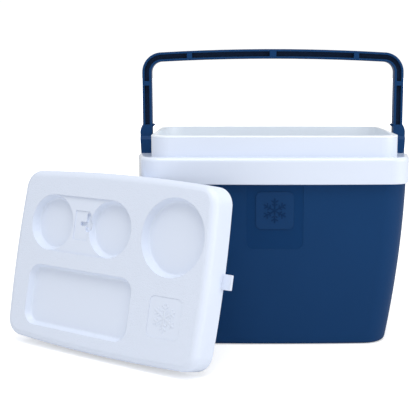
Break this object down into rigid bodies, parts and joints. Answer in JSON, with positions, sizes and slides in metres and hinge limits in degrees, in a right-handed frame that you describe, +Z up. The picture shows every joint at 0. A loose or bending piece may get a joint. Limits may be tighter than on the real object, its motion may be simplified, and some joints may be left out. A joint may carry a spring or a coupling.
{
  "type": "cooler chest",
  "caption": "Hard-sided insulated cooler chest with a bail handle that tilts both ways, and a lift-off lid with cup recesses, standing on its edge against the chest",
  "frame": {"origin": "middle of the chest's flat underside, which stands on the floor", "axes": "+Z up; +X along the chest to its right end; -Y towards its front, where the lid leans"},
  "size_m": [0.5431, 0.3736, 0.3924],
  "materials": {
    "blue_plastic": "satin moulded polyethylene with a fine grain",
    "white_plastic": "satin cool white",
    "grey_plastic": "satin",
    "foam": "foam, unseen"
  },
  "bodies": {
    "chest": {"outer_shell": "blue_plastic", "front_badge": "blue_plastic", "body_foam": "foam", "inner_liner": "white_plastic", "rim_collar": "white_plastic", "left_pivot_pin": "grey_plastic", "right_pivot_pin": "grey_plastic"},
    "handle": {"handle": "blue_plastic"},
    "lid": {"lid_cover": "white_plastic", "lid_foam": "foam", "lid_base": "white_plastic"}
  },
  "joints": [
    {"name": "handle_tilt", "type": "hinge", "parent": "chest", "child": "handle", "pos_m": [0, 0, 0.226], "axis": [1, 0, 0], "range_deg": [-45, 45]},
    {"name": "lid_lift", "type": "slide", "parent": "chest", "child": "lid", "axis": [0, 0, 1], "range_m": [0, 0.3]}
  ]
}
